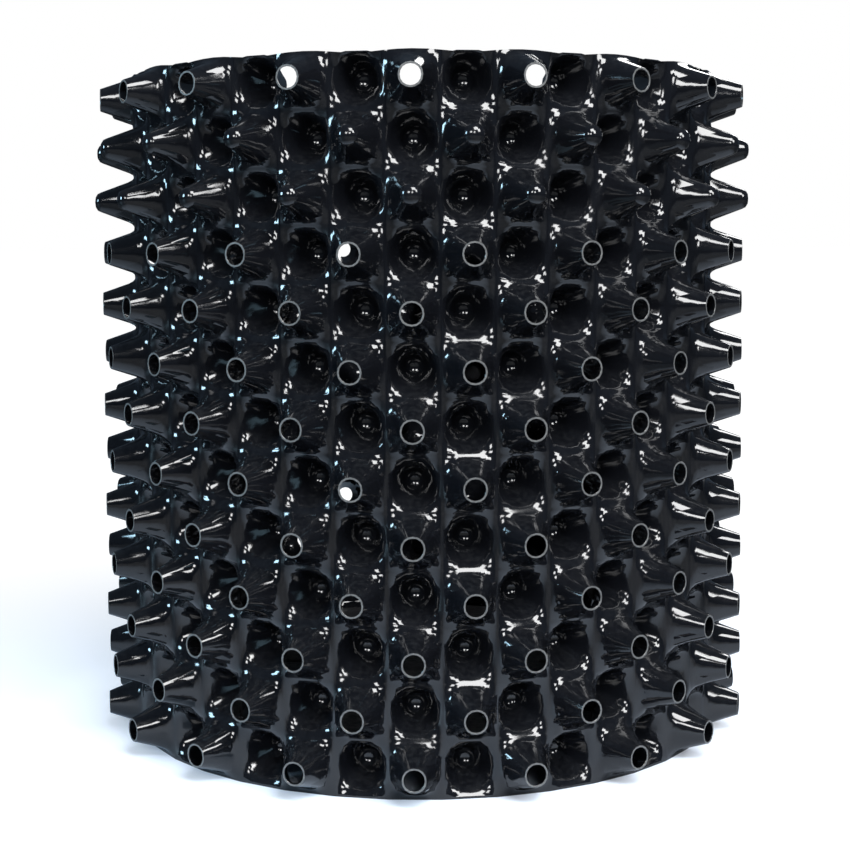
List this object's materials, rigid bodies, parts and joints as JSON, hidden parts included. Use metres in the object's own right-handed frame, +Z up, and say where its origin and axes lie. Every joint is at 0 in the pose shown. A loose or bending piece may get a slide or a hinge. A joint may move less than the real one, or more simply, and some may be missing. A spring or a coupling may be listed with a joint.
{
  "type": "air pruning pot",
  "caption": "Round planting pot of one egg-crate sheet of hollow cut-tipped studs, lapped and bolted at the back round a slotted base plate.",
  "frame": {"origin": "centre of the bottom rim, on the plane the pot stands on", "axes": "+Z up along the pot's axis; -Y is the front, a column of studs; the bolted lap is at the back, one column (9.5 degrees) from +Y towards +X"},
  "size_m": [0.303, 0.3133, 0.3],
  "materials": {
    "wall": "glossy thermoformed sheet, black",
    "plate": "moulded, black, half gloss",
    "fasteners": "moulded, black, half gloss"
  },
  "bodies": {
    "root": {"wall_sheet": "wall", "base_plate": "plate", "seam_bolts": "fasteners", "wing_nuts": "fasteners"}
  },
  "joints": []
}
